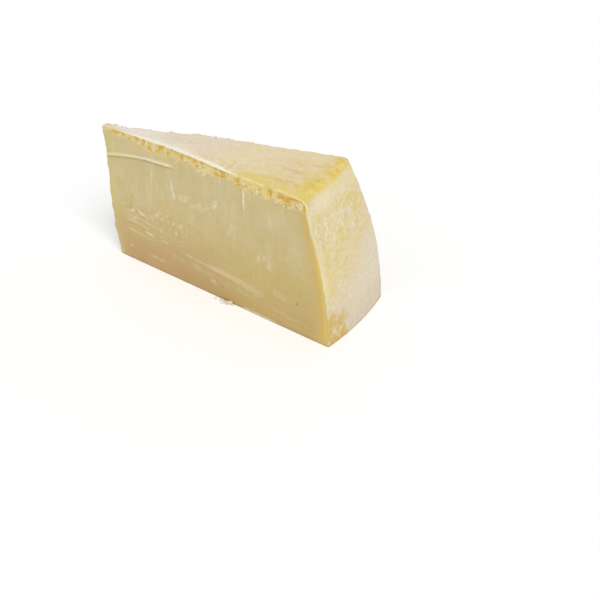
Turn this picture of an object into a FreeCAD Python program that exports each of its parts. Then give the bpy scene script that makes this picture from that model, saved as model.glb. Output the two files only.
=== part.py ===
"""A wedge of parmesan-style hard cheese, cut from the upper half of a wheel.

The wheel is a low drum: its flat top and its bulging side are rind. A knife first
halves it at mid-height, which makes the face that the wedge lies on, and two cuts
through the wheel's axis then free the wedge. It has:

  * a side that stands upright at the base and leans in towards the top, more so
    at the rear, where the rind sank in ripening;
  * a worn shoulder between the side and the faintly domed top;
  * a point that snapped off along uneven facets instead of being cut;
  * a crumbly seam under the top crust of each cut face, where the dry cheese tore
    out in grains below a thin lip of crust;
  * a raised smear on the front cut, where the knife stopped and started again;
  * small pits that single grains left in the cut faces.

Model axes: +Z up, +X from the point towards the rind along the wedge's middle.
The origin is the middle of the base, at the centre of the bounding box.
Lengths are in millimetres and angles in degrees.
"""
import FreeCAD, Part
import math
import os
import Sketcher
from FreeCAD import Placement, Rotation, Vector

NODE = "cheese_wedge"

# Driving dimensions: alias, value, what it is.
SIZES = [
    ("wheel_radius", 219.5, "wheel's radius at mid-height, where it is widest"),
    ("cheese_height", 92.8, "base to the top at the shoulder: half the wheel"),
    ("wedge_angle", 19.0, "angle between the two cut faces"),
    ("side_upright", 36.0, "how far up the side keeps the base's direction"),
    ("rim_front", 203.2, "side's radius below the shoulder, at the front cut"),
    ("rim_middle", 197.2, "the same, midway between the cuts"),
    ("rim_rear", 195.6, "the same, at the rear cut"),
    ("lean_front", 13.5, "lean of the side below the shoulder, at the front cut"),
    ("lean_middle", 25.0, "the same, midway between the cuts"),
    ("lean_rear", 29.0, "the same, at the rear cut"),
    ("shoulder_radius", 4.5, "rounding between side and top"),
    ("dome_front", 2.4, "rise of the top's dome along the front cut"),
    ("dome_middle", 1.8, "the same, midway between the cuts"),
    ("dome_rear", 1.2, "the same, along the rear cut"),
    ("point_radius", 28.6, "wheel's axis to the broken point"),
    ("point_slant", 5.0, "turn of the point's facet away from square"),
    ("point_lean", 1.0, "lean of the point's facet away from upright"),
    ("rear_chip_length", 70.0, "length of the flake lost from the rear of the point"),
    ("rear_chip_width", 3.2, "thickness of that flake at the point"),
    ("foot_chip_height", 27.0, "height of the chip at the foot of the point"),
    ("foot_chip_lean", 11.0, "lean of that chip's face away from upright"),
    ("crust_thickness", 1.6, "top crust left as a lip over the torn seam"),
    ("seam_drop", 8.0, "usual height of the torn seam below the crust"),
    ("seam_depth", 1.1, "depth of the torn seam into the cut face"),
    ("seam_scallop", 5.2, "usual width of one torn scallop of the seam"),
    ("seam_margin", 2.4, "untorn rind left at the outer end of the seam"),
    ("smear_fall", 20.0, "top at the shoulder down to the knife smear's start"),
    ("smear_rise", 9.4, "rise of the knife smear along its length"),
    ("smear_length", 66.0, "length of the knife smear along the cut face"),
    ("smear_radius", 1.2, "radius of the smear's bead, half of it proud"),
    ("grain_radius", 1.3, "radius of the ball that makes the largest pit"),
    ("grain_pits", 5, "number of pits in each cut face"),
]

# Allowances of the construction, not sizes of the cheese.
CORE_RADIUS = 9.0      # the wheel's sections start this far from its axis
BASE_SPARE = 6.0       # the sections reach this far below the base cut
CUTTER_SCALE = 2.5     # half side of a cutting square, in wheel radii
SMEAR_SPARE = 4.0      # the smear starts this far inside the broken point
GOLDEN_STEP = 0.618    # spreads the pits evenly without lining them up


class Sizes:
    """The spreadsheet, readable by name and known to expressions."""

    def __init__(self, doc):
        sheet = doc.addObject("Spreadsheet::Sheet", "Sizes")
        for row, (alias, value, meaning) in enumerate(SIZES, start=1):
            sheet.set(f"A{row}", meaning)
            sheet.set(f"B{row}", str(value))
            sheet.setAlias(f"B{row}", alias)
        doc.recompute()
        self.sheet = sheet

    def __getattr__(self, alias):
        return float(getattr(self.sheet, alias))


# --- sketches ---------------------------------------------------------------

def new_sketch(body, name, role):
    """An empty sketch on one of the body's own origin planes."""
    plane = next(o for o in body.Origin.OriginFeatures if o.Role == role)
    sketch = body.newObject("Sketcher::SketchObject", name)
    sketch.AttachmentSupport = (plane, [""])
    sketch.MapMode = "FlatFace"
    return sketch


def upright_sketch(body, name, turn, side):
    """A sketch of an upright plane through the wheel's axis.

    Its x runs out from the axis and its y runs up. side is -1 for the front cut,
    0 for the wedge's middle and +1 for the rear cut.
    """
    sketch = new_sketch(body, name, "XZ_Plane")
    sketch.AttachmentOffset = Placement(Vector(), Rotation(Vector(0, 1, 0), side * turn))
    if side:
        sketch.setExpression(
            "AttachmentOffset",
            f"placement(vector(0; 0; 0); rotation(vector(0; {side}; 0); Sizes.wedge_angle / 2))",
        )
    return sketch


def crosswise_sketch(body, name, anchor, slant, lean="0"):
    """A sketch of an upright plane across the wedge, which faces along +X.

    anchor gives the X, Y and Z that its origin goes to, slant turns it about the
    upright, and lean then tilts its upper end outwards; all are expressions.
    """
    sketch = new_sketch(body, name, "YZ_Plane")
    x, y, z = anchor
    sketch.setExpression(
        "AttachmentOffset",
        f"placement(vector({y}; {z}; {x}); rotation(vector(0; 1; 0); {slant})"
        f" * rotation(vector(1; 0; 0); {lean}))",
    )
    return sketch


def join(sketch, count):
    """Makes the ends of each two edges in a closed chain one point."""
    for first in range(count):
        second = (first + 1) % count
        pairs = [(a, b) for a in (1, 2) for b in (1, 2)]
        first_end, second_end = min(pairs, key=lambda p: end_gap(sketch, first, second, p))
        tie = Sketcher.Constraint("Coincident", first, first_end, second, second_end)
        sketch.addConstraint(tie)


def end_gap(sketch, first, second, ends):
    """Distance between an end of one edge and an end of another."""
    return (sketch.getPoint(first, ends[0]) - sketch.getPoint(second, ends[1])).Length


def place_end(sketch, edge, end, name, across, up):
    """Ties one end of an edge to expressions for its x and its y."""
    for axis, expression in (("X", across), ("Y", up)):
        where = sketch.getPoint(edge, end)
        value = where.x if axis == "X" else where.y
        number = sketch.addConstraint(
            Sketcher.Constraint(f"Distance{axis}", -1, 1, edge, end, value)
        )
        sketch.renameConstraint(number, f"{name}_{axis}")
        sketch.setExpression(f"Constraints.{name}_{axis}", expression)


def add_square(sketch, sizes):
    """A square about the sketch's origin, larger than the wedge, to cut it through."""
    half = sizes.wheel_radius * CUTTER_SCALE
    signs = ((-1, -1), (1, -1), (1, 1), (-1, 1))
    corners = [Vector(x * half, y * half, 0) for x, y in signs]
    lines = [Part.LineSegment(a, b) for a, b in zip(corners, corners[1:] + corners[:1])]
    sketch.addGeometry(lines, False)
    join(sketch, len(lines))


# --- the block of cheese ----------------------------------------------------

def side_curve(sizes, rim, lean):
    """The rind's side in section: upright at the base, leaning in at the rim."""
    rim_height = sizes.cheese_height - sizes.shoulder_radius
    reach = rim_height - sizes.side_upright
    slope = Vector(math.sin(math.radians(lean)), -math.cos(math.radians(lean)), 0)
    foot = Vector(sizes.wheel_radius, -BASE_SPARE, 0)
    top = Vector(rim, rim_height, 0)
    curve = Part.BezierCurve()
    upright = Vector(sizes.wheel_radius, sizes.side_upright, 0)
    curve.setPoles([foot, upright, top + slope * (reach / 2), top])
    return curve.toBSpline()


def draw_section(body, name, sizes, side, place):
    """Draws the wheel's outline in one upright plane and ties it to the sheet."""
    rim = getattr(sizes, f"rim_{place}")
    lean = getattr(sizes, f"lean_{place}")
    dome = getattr(sizes, f"dome_{place}")
    round_off = sizes.shoulder_radius
    height = sizes.cheese_height
    tilt = math.radians(lean)

    centre = Vector(rim - round_off * math.cos(tilt), height - round_off, 0)
    rim_point = Vector(rim, height - round_off, 0)
    halfway = (math.pi / 2 + tilt / 2) / 2
    crest = centre + Vector(math.cos(halfway), math.sin(halfway), 0) * round_off
    top_outer = Vector(centre.x, height, 0)
    top_inner = Vector(CORE_RADIUS, height, 0)
    top_middle = (top_outer + top_inner) * 0.5 + Vector(0, dome, 0)
    base_inner = Vector(CORE_RADIUS, -BASE_SPARE, 0)
    base_outer = Vector(sizes.wheel_radius, -BASE_SPARE, 0)

    sketch = upright_sketch(body, name, sizes.wedge_angle / 2, side)
    edges = [
        Part.LineSegment(base_inner, base_outer),
        side_curve(sizes, rim, lean),
        Part.Arc(rim_point, crest, top_outer),
        Part.Arc(top_outer, top_middle, top_inner),
        Part.LineSegment(top_inner, base_inner),
    ]
    sketch.addGeometry(edges, False)
    join(sketch, len(edges))
    place_end(sketch, 0, 2, "foot", "Sizes.wheel_radius", f"-{BASE_SPARE}")
    rim_height = "Sizes.cheese_height - Sizes.shoulder_radius"
    place_end(sketch, 1, 2, "rim", f"Sizes.rim_{place}", rim_height)
    place_end(sketch, 4, 1, "core", f"{CORE_RADIUS}", "Sizes.cheese_height")
    return sketch


def add_block(body, sizes):
    """Lofts the block through its front, middle and rear sections."""
    places = (("front", -1), ("middle", 0), ("rear", 1))
    sections = [
        draw_section(body, f"Section_{place}", sizes, side, place) for place, side in places
    ]
    block = body.newObject("PartDesign::AdditiveLoft", "Block")
    block.Profile = sections[0]
    block.Sections = sections[1:]
    block.Ruled = False


# --- cuts and breaks ---------------------------------------------------------

def cut_through(body, sketch, sizes, name, towards_normal):
    """Removes all that lies on one side of a sketch's plane."""
    add_square(sketch, sizes)
    cut = body.newObject("PartDesign::Pocket", name)
    cut.Profile = sketch
    cut.Type = "ThroughAll"
    cut.Reversed = towards_normal


def add_base_cut(body, sizes):
    """Halves the wheel: the flat face that the wedge lies on."""
    sketch = new_sketch(body, "Base_plane", "XY_Plane")
    cut_through(body, sketch, sizes, "Base_cut", towards_normal=False)


def add_point_break(body, sizes):
    """Snaps the point off, with a flake lost from its rear and a chip at its foot."""
    half = "Sizes.wedge_angle / 2"
    front = ("Sizes.point_radius", "0", "Sizes.cheese_height")
    face = crosswise_sketch(
        body, "Point_plane", front, "Sizes.point_slant", "-Sizes.point_lean"
    )
    cut_through(body, face, sizes, "Point_break", towards_normal=False)

    chip_end = "(Sizes.point_radius + Sizes.rear_chip_length)"
    flake_end = (chip_end, f"{chip_end} * tan({half})", "0")
    flake_turn = f"atan(tan({half}) + Sizes.rear_chip_width / Sizes.rear_chip_length)"
    rear = crosswise_sketch(body, "Rear_flake_plane", flake_end, f"90 deg + {flake_turn}")
    cut_through(body, rear, sizes, "Rear_flake", towards_normal=True)

    foot_top = ("Sizes.point_radius", "0", "Sizes.foot_chip_height")
    foot = crosswise_sketch(body, "Foot_chip_plane", foot_top, "0", "-Sizes.foot_chip_lean")
    cut_through(body, foot, sizes, "Foot_chip", towards_normal=False)


# --- the torn seam under the crust -------------------------------------------

def dome_rise(sizes, dome, radius):
    """How far the domed top stands over the shoulder's height at a radius."""
    centre = (CORE_RADIUS + sizes.rim_front - sizes.shoulder_radius) / 2
    half_span = centre - CORE_RADIUS
    return dome * (1 - ((radius - centre) / half_span) ** 2)


def seam_fall(sizes, along, phase):
    """Height of the torn seam at a fraction of the way from point to rind.

    It is low at the point, deepest about a third of the way along and again near
    the rind, and every scallop falls a little differently.
    """
    opening = min(1.0, 0.3 + 4.0 * along)
    swell = 1.0 + 0.17 * math.cos(4 * math.pi * (along - 0.33) + phase)
    ragged = 0.09 * math.sin(57.0 * along + phase) + 0.07 * math.sin(131.0 * along)
    return sizes.seam_drop * opening * (swell + ragged)


def seam_outline(sizes, rim, dome, phase):
    """The seam's closed outline: scallops below, the lip's underside above."""
    start = CORE_RADIUS + sizes.seam_margin
    end = rim - sizes.seam_margin
    count = max(3, round((end - start) / sizes.seam_scallop))
    radii = [start + (end - start) * i / count for i in range(count + 1)]
    lip = [
        sizes.cheese_height + dome_rise(sizes, dome, radius) - sizes.crust_thickness
        for radius in radii
    ]
    torn = [
        Vector(radius, top - seam_fall(sizes, i / count, phase), 0)
        for i, (radius, top) in enumerate(zip(radii, lip))
    ]
    sag = Vector(0, -0.16 * (end - start) / count, 0)
    scallops = [Part.Arc(a, (a + b) * 0.5 + sag, b) for a, b in zip(torn, torn[1:])]
    middle = count // 2
    roof = [Vector(radii[i], lip[i], 0) for i in (count, middle, 0)]
    outer_end = Part.LineSegment(torn[-1], roof[0])
    inner_end = Part.LineSegment(roof[-1], torn[0])
    return scallops + [outer_end, Part.Arc(*roof), inner_end]


def add_seam(body, sizes, side, place, phase):
    """Tears the seam out of one cut face."""
    rim = getattr(sizes, f"rim_{place}") - sizes.shoulder_radius
    dome = getattr(sizes, f"dome_{place}")
    sketch = upright_sketch(body, f"Seam_{place}_outline", sizes.wedge_angle / 2, side)
    outline = seam_outline(sizes, rim, dome, phase)
    sketch.addGeometry(outline, False)
    join(sketch, len(outline))
    seam = body.newObject("PartDesign::Pocket", f"Seam_{place}")
    seam.Profile = sketch
    seam.Type = "Length"
    seam.Reversed = side > 0
    seam.setExpression("Length", "Sizes.seam_depth")


# --- marks in the cut faces --------------------------------------------------

def add_smear(body, sizes):
    """Raises the knife's smear: a bead that climbs from the point and fades out."""
    half = "Sizes.wedge_angle / 2"
    stations = ((0.0, 1.0), (0.25, 0.97), (0.5, 0.85), (0.75, 0.6), (1.0, 0.2))
    rings = []
    for number, (along, thickness) in enumerate(stations):
        reach = f"(Sizes.point_radius - {SMEAR_SPARE} + Sizes.smear_length * {along})"
        climb = math.sin(math.radians(90 * along))
        height = f"Sizes.cheese_height - Sizes.smear_fall + Sizes.smear_rise * {climb:.4f}"
        anchor = (f"{reach} * cos({half})", f"-{reach} * sin({half})", height)
        ring = crosswise_sketch(body, f"Smear_ring_{number}", anchor, f"-{half}")
        circle = Part.Circle(Vector(), Vector(0, 0, 1), sizes.smear_radius * thickness)
        ring.addGeometry(circle, False)
        ring.addConstraint(Sketcher.Constraint("Coincident", 0, 3, -1, 1))
        size = ring.addConstraint(
            Sketcher.Constraint("Radius", 0, sizes.smear_radius * thickness)
        )
        ring.renameConstraint(size, "bead")
        ring.setExpression("Constraints.bead", f"Sizes.smear_radius * {thickness}")
        rings.append(ring)
    smear = body.newObject("PartDesign::AdditiveLoft", "Smear")
    smear.Profile = rings[0]
    smear.Sections = rings[1:]
    smear.Ruled = True


def add_grain_pits(body, sizes, side, place):
    """Scatters shallow pits over a cut face, where grains fell out."""
    plane = next(o for o in body.Origin.OriginFeatures if o.Role == "XZ_Plane")
    count = int(sizes.grain_pits)
    for number in range(count):
        along = (0.31 + GOLDEN_STEP * number) % 1.0
        up = 0.12 + 0.55 * ((0.47 + GOLDEN_STEP * GOLDEN_STEP * number) % 1.0)
        shrink = 1.0 - 0.5 * number / count
        pit = body.newObject("PartDesign::SubtractiveSphere", f"Pit_{place}_{number + 1}")
        pit.AttachmentSupport = (plane, [""])
        pit.MapMode = "FlatFace"
        pit.setExpression("Radius", f"Sizes.grain_radius * {shrink:.3f}")
        span = f"(Sizes.rim_{place} - 2 * Sizes.point_radius)"
        reach = f"(1.5 * Sizes.point_radius + {span} * {along:.3f})"
        turn = f"({side} * Sizes.wedge_angle / 2)"
        stand_off = f"({-side} * Sizes.grain_radius * {0.45 * shrink:.3f})"
        x = f"({reach} * cos({turn}) + {stand_off} * sin({turn}))"
        y = f"({reach} * sin({turn}) - {stand_off} * cos({turn}))"
        pit.setExpression(
            "AttachmentOffset",
            f"placement(vector({x}; Sizes.cheese_height * {up:.3f}; -{y});"
            " rotation(vector(0; 0; 1); 0))",
        )


# --- the finished part -------------------------------------------------------

def build_cheese(doc, sizes):
    """The whole wedge as one body, standing with its origin under its middle."""
    body = doc.addObject("PartDesign::Body", NODE)
    body.Label = NODE
    add_block(body, sizes)
    add_base_cut(body, sizes)
    add_seam(body, sizes, -1, "front", phase=0.0)
    add_seam(body, sizes, +1, "rear", phase=2.1)
    add_smear(body, sizes)
    add_point_break(body, sizes)
    add_grain_pits(body, sizes, -1, "front")
    add_grain_pits(body, sizes, +1, "rear")
    doc.recompute()
    box = body.Shape.optimalBoundingBox(False, False)
    body.Placement = Placement(Vector(-box.Center.x, -box.Center.y, -box.ZMin), Rotation())
    doc.recompute()
    return body


def check(doc, bodies):
    """Stops if any object failed or any body isn't one valid solid."""
    failed = [o.Name for o in doc.Objects if {"Invalid", "Error"} & set(o.State)]
    if failed:
        raise RuntimeError(f"these objects failed: {', '.join(failed)}")
    for body in bodies:
        shape = body.Shape
        if shape.isNull() or not shape.isValid() or len(shape.Solids) != 1:
            raise RuntimeError(f"{body.Label} is not one valid solid")


def main():
    """Builds the document and writes each body to parts/."""
    doc = FreeCAD.newDocument("CheeseWedge")
    sizes = Sizes(doc)
    bodies = [build_cheese(doc, sizes)]
    check(doc, bodies)
    os.makedirs("parts", exist_ok=True)
    for body in bodies:
        body.Shape.exportStep(os.path.join("parts", f"{body.Label}.step"))
        box = body.Shape.optimalBoundingBox(False, False)
        print(
            f"{body.Label}: {box.XLength:.2f} x {box.YLength:.2f} x {box.ZLength:.2f} mm,"
            f" {body.Shape.Volume / 1000:.1f} cm3, {len(body.Shape.Faces)} faces"
        )


main()
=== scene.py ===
# %% [markdown]
# # A wedge of hard cheese
# The real thing is half the height of a wheel, cut free with two strokes of a knife through
# the wheel's middle. Its point has snapped off, its two cut faces are waxy and a little
# smeared, and the crust that was the wheel's top and side is dry and pale. Under the top
# crust runs a seam where the cheese crumbled instead of cutting.
#
# The packed CAD model gives the size and the place of everything. It has flat faces and crisp
# edges, so this script shapes a finer skin in the same place, which stands for the CAD solid,
# and then adds loose crumbs, a finish for each surface, a floor, light and a camera.

# %% Load the packed model
import math

import bmesh
import bpy
import numpy as np
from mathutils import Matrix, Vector
from mathutils.geometry import delaunay_2d_cdt


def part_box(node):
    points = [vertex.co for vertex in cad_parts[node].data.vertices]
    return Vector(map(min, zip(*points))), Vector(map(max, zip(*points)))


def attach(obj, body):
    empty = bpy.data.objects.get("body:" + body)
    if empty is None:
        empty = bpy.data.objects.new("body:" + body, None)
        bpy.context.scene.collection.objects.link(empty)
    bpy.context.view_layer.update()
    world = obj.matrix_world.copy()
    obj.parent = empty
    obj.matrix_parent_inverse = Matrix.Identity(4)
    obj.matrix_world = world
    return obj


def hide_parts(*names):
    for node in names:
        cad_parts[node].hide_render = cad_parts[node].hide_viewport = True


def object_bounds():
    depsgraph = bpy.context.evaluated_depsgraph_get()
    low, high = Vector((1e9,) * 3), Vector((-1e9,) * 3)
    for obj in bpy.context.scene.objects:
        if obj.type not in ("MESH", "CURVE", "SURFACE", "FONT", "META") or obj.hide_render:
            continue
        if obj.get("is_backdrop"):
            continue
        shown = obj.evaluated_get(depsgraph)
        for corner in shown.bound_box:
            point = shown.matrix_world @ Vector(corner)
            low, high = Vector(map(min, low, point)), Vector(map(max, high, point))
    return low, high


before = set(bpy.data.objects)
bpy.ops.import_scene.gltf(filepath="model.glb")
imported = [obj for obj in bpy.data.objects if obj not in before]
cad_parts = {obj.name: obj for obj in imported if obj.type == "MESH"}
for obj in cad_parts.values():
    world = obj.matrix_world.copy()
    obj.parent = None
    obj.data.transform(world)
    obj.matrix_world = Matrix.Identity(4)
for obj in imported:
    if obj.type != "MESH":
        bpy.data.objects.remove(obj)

NODE = "cheese_wedge"
cad_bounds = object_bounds()
cad_low, cad_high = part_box(NODE)
print("CAD box, mm:", [round(side * 1000, 1) for side in cad_high - cad_low])

# %% [markdown]
# ## Where a spot on the cheese is
# A cheesemonger would say where a spot lies by its distance from the wheel's axis, its height
# above the base and its turn about the axis. The same three numbers are handy here: every
# shape below is worked out in millimetres about the axis, and only the finished mesh is moved
# to the CAD model's place and turned into metres.

# %% Main sizes, in millimetres and radians
MM = 0.001
WHEEL_RADIUS = 219.4
HALF_ANGLE = math.radians(9.5)
HEIGHT = 92.8
POINT_RADIUS = 28.6
AXIS_X = cad_high.x - WHEEL_RADIUS * MM
# One millimetre along the front cut, and straight out of the front and the rear cut.
FRONT_WAY = np.array([math.cos(HALF_ANGLE), -math.sin(HALF_ANGLE), 0])
FRONT_OUT = np.array([-math.sin(HALF_ANGLE), -math.cos(HALF_ANGLE), 0])
REAR_OUT = np.array([-math.sin(HALF_ANGLE), math.cos(HALF_ANGLE), 0])
print("the wheel's axis stands at x, mm:", round(AXIS_X / MM, 1))


def ease(value, start, end):
    """0 before start, 1 after end and a smooth climb between them."""
    share = np.clip((value - start) / (end - start), 0, 1)
    return share * share * (3 - 2 * share)


def hump(value, middle, reach):
    """1 at the middle, fading to nothing about two reaches away on either side."""
    return np.exp(-(((value - middle) / reach) ** 2))


# %% [markdown]
# ## Unevenness
# Nothing on a cheese is regular, so most shapes are stirred by noise. Two kinds are enough:
# a smooth one, for swells and dents, and a cellular one, for grains. Blender has both as
# textures, but here they also have to move vertices and agree with the colours, so they are
# worked out for whole arrays of points at once with numpy. They hash whole numbers, so they
# come out the same every time.

# %% Smooth noise and cellular noise
def scramble(corner, seed):
    """A fixed random number from 0 to 1 for each whole-numbered grid corner."""
    mixed = (corner.astype(np.int64) + 4096) * np.array([73856093, 19349663, 83492791])
    mixed = (mixed[..., 0] ^ mixed[..., 1] ^ mixed[..., 2]) + seed * 40503
    mixed = (mixed ^ (mixed >> 13)) * 1274126177 & 0x7FFFFFFF
    mixed = (mixed ^ (mixed >> 16)) * 668265263 & 0x7FFFFFFF
    return (mixed ^ (mixed >> 15)) / 0x7FFFFFFF


def lattice(marks):
    """All corners of a cube whose three sides carry the same marks."""
    return np.stack(np.meshgrid(marks, marks, marks, indexing="ij"), -1).reshape(-1, 3)


NEIGHBOURS = lattice([0, 1])
CUBE = lattice([-1, 0, 1])
SPREAD = 1.6


def swell(places, size, seed, octaves=3):
    """Smooth noise from about -1 to 1 with swells of the given size."""
    total = np.zeros(places.shape[:-1])
    reach = 0
    for octave in range(octaves):
        spot = places / (size * 0.5**octave) + 17.3 * octave
        base = np.floor(spot)
        share = spot - base
        share = share * share * (3 - 2 * share)
        level = np.zeros(places.shape[:-1])
        for shift in NEIGHBOURS:
            weight = np.prod(np.where(shift, share, 1 - share), axis=-1)
            level += weight * scramble(base + shift, seed + octave)
        total += (2 * level - 1) * 0.5**octave
        reach += 0.5**octave
    return total / reach * SPREAD


def grains(places, size, seed):
    """For each place, its distance to the nearest grain's middle and that grain's number."""
    spot = places / size
    base = np.floor(spot)
    nearest = np.full(places.shape[:-1], 9)
    number = np.zeros(places.shape[:-1])
    for shift in CUBE:
        corner = base + shift
        middle = corner + np.stack([scramble(corner, seed + i) for i in range(3)], -1)
        gap = np.linalg.norm(spot - middle, axis=-1)
        closer = gap < nearest
        nearest = np.where(closer, gap, nearest)
        number = np.where(closer, scramble(corner, seed + 7), number)
    return nearest, number


sample = swell(np.random.default_rng(1).uniform(0, 90, (4000, 3)), 9, 3)
print("smooth noise spans", round(sample.min(), 2), "to", round(sample.max(), 2))

# %% [markdown]
# ## The outline of the block
# In plan the wedge is a narrow sector. Its side is the wheel's bulging rind: upright at the
# base, leaning in towards the top, and turning over a worn shoulder, which stands further out
# at the front cut and has sunk at the rear. The top is faintly domed, highest a third of the
# way along. A curve with two handles gives the bulge, as in the CAD model.

# %% The side's outline and the top's dome
SHOULDER = 4.6
RIM_RADIUS = 194.3
RIM_FLARE = 8.7
RIM_LEAN = math.radians(28)
FLARE_LEAN = math.radians(14.5)
FOOT_KNOT = -2
UPRIGHT_KNOT = 38
DOME_RISE = 2.7
DOME_MIDDLE = 88
DOME_REACH = 40
SIDE_SAMPLES = 160
SHOULDER_SAMPLES = 24


def side_outline(turn):
    """Radii and heights up the rind's side, at a share of the turn from front to rear."""
    crisp = math.exp(-turn / 0.12)
    rim = RIM_RADIUS + RIM_FLARE * crisp
    lean = RIM_LEAN - FLARE_LEAN * math.exp(-turn / 0.3)
    shoulder = SHOULDER * (1 + 0.35 * crisp)
    rim_height = HEIGHT - shoulder
    handle = (rim_height - UPRIGHT_KNOT - FOOT_KNOT) / 2
    share = np.linspace(0, 1, SIDE_SAMPLES)[:, None]
    knots = np.array(
        [
            (WHEEL_RADIUS, FOOT_KNOT),
            (WHEEL_RADIUS, UPRIGHT_KNOT),
            (rim + handle * math.sin(lean), rim_height - handle * math.cos(lean)),
            (rim, rim_height),
        ]
    )
    weights = [(1 - share) ** 3, 3 * (1 - share) ** 2 * share, 3 * (1 - share) * share**2, share**3]
    side = sum(weight * knot for weight, knot in zip(weights, knots))
    angle = np.linspace(lean, math.pi / 2, SHOULDER_SAMPLES)[1:, None]
    centre = np.array([rim - shoulder * math.cos(lean), rim_height - shoulder * math.sin(lean)])
    arc = centre + shoulder * np.hstack([np.cos(angle), np.sin(angle)])
    outline = np.vstack([side, arc])
    return outline[:, 0], outline[:, 1] * HEIGHT / outline[-1, 1]


def dome(radius, turn):
    """How far the top stands over the shoulder."""
    return DOME_RISE * hump(radius, DOME_MIDDLE, DOME_REACH) * (1 - 0.5 * turn)


for turn in (0, 0.5, 1):
    radii, _ = side_outline(turn)
    print(f"turn {turn}: rind leans from {radii[0]:.1f} to {radii[-1]:.1f} mm")

# %% [markdown]
# ## A ring for every height
# The skin is built like a stack of rings. Each ring runs along the front cut, round the rind,
# back along the rear cut and across the broken point, and all rings have the same number of
# points, so the stack is a clean grid. Points are closest where detail is finest: along the
# front cut, and in the upper rows, where the torn seam and the shoulder are.

# %% Points of the grid
FRONT_POINTS = 350
RIND_POINTS = 100
REAR_POINTS = 160
TIP_POINTS = 14
ROW_BANDS = ((0, 58, 50), (58, 78, 24), (78, HEIGHT - SHOULDER, 21))
SHOULDER_ROWS = 14


def row_heights():
    """Heights of the rings, closer together towards the top."""
    bands = [np.linspace(low, high, number, endpoint=False) for low, high, number in ROW_BANDS]
    over = HEIGHT - SHOULDER * (1 - np.sin(np.linspace(0, math.pi / 2, SHOULDER_ROWS)))
    return np.concatenate([*bands, over])


def point_break(height):
    """Distance from the axis to the broken point: chipped at the foot, with a lip of crust."""
    wobble = 0.5 * np.sin(height / 11) + 0.25 * np.sin(height / 4.3 + 1)
    lip = 2.2 * ease(height, 73, 91)
    waist = 0.8 * ease(height, 80, 40)
    chip = 4.6 * ease(height, 26, 0)
    return POINT_RADIUS - lip + waist + wobble + chip


rows = row_heights()
ring = FRONT_POINTS + RIND_POINTS + REAR_POINTS + TIP_POINTS
corner_at = np.cumsum([0, FRONT_POINTS, RIND_POINTS, REAR_POINTS])
print(len(rows), "rings of", ring, "points")

# %% [markdown]
# The rear cut isn't quite true. Near the point a flake came away with the knife, and the face
# leans out a little towards the top. Both are written as insets from the true plane, and so
# is the rounding of the upper edges of both cuts.

# %% Place the rings
ROUNDING = 1
TIP_SKEW = 1.4


def rear_inset(radius, height):
    """How far the rear cut lies inside its true plane."""
    flake = (2.7 + 1.9 * ease(height, 50, 88)) * (1 - ease(radius, 70, 108))
    flake *= 1 - 0.6 * hump(radius, 26, 7) * ease(height, 70, 90)
    notch = 1.2 * hump(radius, 43, 4) * ease(height, 60, 92)
    lean = (0.45 - height / HEIGHT) * 3.2 * radius / 200
    return flake + notch + lean


def edge_inset(height, top):
    """How far a cut face's upper edge is rounded in at a height."""
    over = np.clip((height - top + ROUNDING) / ROUNDING, 0, 1)
    return ROUNDING * (1 - np.sqrt(1 - over * over))


def place_rings():
    """Positions of all grid points, with each one's radius, height and turn."""
    spots = np.zeros((len(rows), ring, 3))
    radius = np.zeros((len(rows), ring))
    turn = np.zeros((len(rows), ring))
    outlines = [side_outline(t) for t in np.arange(RIND_POINTS + 1) / RIND_POINTS]
    rind = np.stack([np.interp(rows, heights, radii) for radii, heights in outlines], 1)
    tip = point_break(rows)
    front, side, rear = corner_at[1:]
    share = np.arange(FRONT_POINTS) / FRONT_POINTS
    radius[:, :front] = tip[:, None] + (rind[:, :1] - tip[:, None]) * share
    radius[:, front:side] = rind[:, :-1]
    turn[:, front:side] = np.arange(RIND_POINTS) / RIND_POINTS
    share = np.arange(REAR_POINTS) / REAR_POINTS
    rear_tip = tip[:, None] - TIP_SKEW
    radius[:, side:rear] = rind[:, -1:] + (rear_tip - rind[:, -1:]) * share
    turn[:, side:] = 1
    share = np.arange(TIP_POINTS) / TIP_POINTS
    radius[:, rear:] = rear_tip + TIP_SKEW * share
    turn[:, rear:] = 1 - share
    height = rows[:, None] * (1 + dome(radius, turn) / HEIGHT)
    top = HEIGHT + dome(radius, turn)

    angle = HALF_ANGLE * (2 * turn - 1)
    spots[..., 0] = radius * np.cos(angle)
    spots[..., 1] = radius * np.sin(angle)
    spots[..., 2] = height
    inset = edge_inset(height, top)[..., None]
    spots[:, :front] -= inset[:, :front] * FRONT_OUT
    behind = rear_inset(radius, height)[..., None]
    spots[:, side:rear] -= (inset + behind)[:, side:rear] * REAR_OUT
    spots[:, rear:] -= turn[:, rear:, None] * (inset + behind)[:, rear:] * REAR_OUT
    spots[:, rear:] -= (1 - turn[:, rear:, None]) * inset[:, rear:] * FRONT_OUT
    spots[:, rear:, 0] += inset[:, rear:, 0]
    along = np.arange(RIND_POINTS)[:, None] / RIND_POINTS
    spots[:, front:side] -= ease(along, 0.75, 1) * behind[:, front:side] * REAR_OUT
    spots[:, front:side] -= ease(along, 0.95, 1) * inset[:, front:side] * REAR_OUT
    spots[:, front:side] -= ease(along, 0.05, 0) * inset[:, front:side] * FRONT_OUT
    return spots, radius, height, turn


spots, radius, height, turn = place_rings()
print("outline spans, mm:", np.round(np.ptp(spots, axis=(0, 1)), 1))

# %% [markdown]
# ## Soft corners
# A knife leaves a sharp corner, but soft cheese doesn't keep it. Averaging each ring a few
# times, only near the four upright corners, rounds them by about a millimetre. A bevel
# modifier would do the same to the whole mesh, at the cost of the clean grid.

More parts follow.
